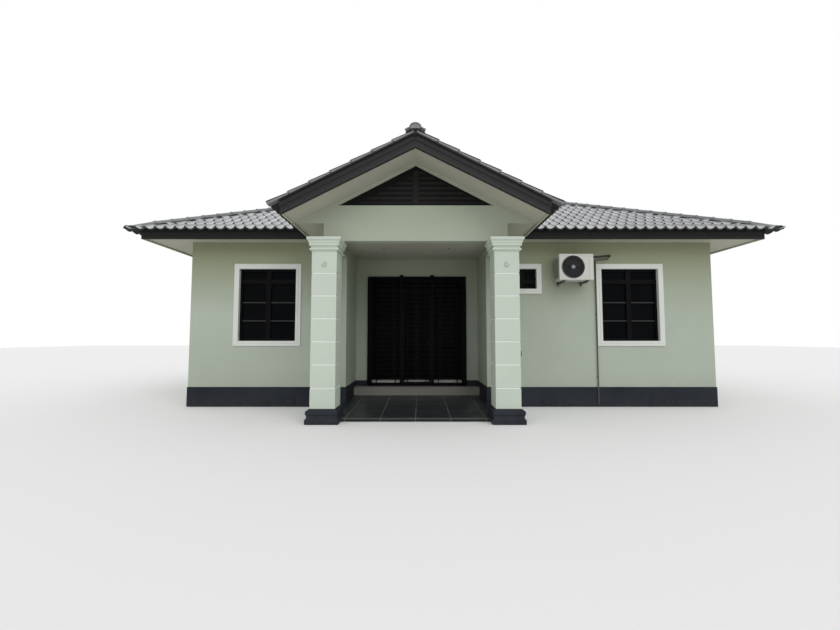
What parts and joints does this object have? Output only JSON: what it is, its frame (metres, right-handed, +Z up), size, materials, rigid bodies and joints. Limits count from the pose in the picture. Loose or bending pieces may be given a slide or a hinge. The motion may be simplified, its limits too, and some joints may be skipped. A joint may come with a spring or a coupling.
{
  "type": "bungalow",
  "caption": "Rendered single-storey bungalow with a hipped tile roof, gabled porch on square columns, louvred gable vent, barred entrance with a hinged leaf, and a wall-hung cooling unit.",
  "frame": {"origin": "centre of the bounding box's foot, on the ground under the house", "axes": "+X to the right along the front wall, +Y from the front to the back, +Z up"},
  "size_m": [13.0196, 11.7196, 6.209],
  "materials": {
    "sage_plaster": "painted render",
    "column_plaster": "painted smooth render",
    "charcoal_paint": "painted render band",
    "concrete": "screed",
    "floor_tile": "matt floor tile",
    "dark_board": "painted board",
    "soffit_board": "painted board",
    "roof_tile": "semi-gloss tile",
    "dark_glass": "tinted",
    "black_frame": "satin",
    "unit_case": "satin",
    "painted_steel": "black painted steel",
    "pipe_wrap": "matt",
    "grey_pipe": "matt"
  },
  "bodies": {
    "house": {"ac_bracket_left": "painted_steel", "ac_bracket_right": "painted_steel", "ac_drain": "grey_pipe", "ac_fan_guard": "painted_steel", "ac_pipe": "pipe_wrap", "ac_unit": "unit_case", "back_wall": "sage_plaster", "back_window_1": "black_frame", "back_window_2": "black_frame", "bargeboards": "dark_board", "door_frame": "black_frame", "door_glass": "dark_glass", "door_step": "concrete", "door_wall_top": "sage_plaster", "eave_soffit": "soffit_board", "fascia_front_left": "dark_board", "fascia_front_right": "dark_board", "fascia_sides_and_back": "dark_board", "floor_slab": "concrete", "front_left_window_frame": "black_frame", "front_left_window_glass": "dark_glass", "front_right_window_frame": "black_frame", "front_right_window_glass": "dark_glass", "front_wall_left": "sage_plaster", "front_wall_right": "sage_plaster", "gable_louvre": "dark_board", "gable_wall": "sage_plaster", "grille_frame": "black_frame", "hip_cap_back_left": "roof_tile", "hip_cap_back_right": "roof_tile", "hip_cap_front_left": "roof_tile", "hip_cap_front_right": "roof_tile", "left_column": "column_plaster", "left_wall": "sage_plaster", "left_window_1": "black_frame", "left_window_2": "black_frame", "plinth_band": "charcoal_paint", "porch_beam_left": "sage_plaster", "porch_beam_right": "sage_plaster", "porch_ceiling": "soffit_board", "porch_floor": "floor_tile", "porch_ridge_cap": "roof_tile", "porch_roof_left": "roof_tile", "porch_roof_right": "roof_tile", "recess_wall_left": "sage_plaster", "recess_wall_right": "sage_plaster", "ridge_cap": "roof_tile", "right_column": "column_plaster", "right_wall": "sage_plaster", "right_window_1": "black_frame", "right_window_2": "black_frame", "roof_back": "roof_tile", "roof_front": "roof_tile", "roof_left": "roof_tile", "roof_right": "roof_tile", "small_window_frame": "black_frame", "small_window_glass": "dark_glass", "verge_soffit": "soffit_board"},
    "leaf": {"grille_leaf": "black_frame"}
  },
  "joints": [
    {"name": "grille_leaf_hinge", "type": "hinge", "parent": "house", "child": "leaf", "pos_m": [-1.065, -2.6123, 1.42], "axis": [0, 0, -1], "range_deg": [0, 90]}
  ]
}
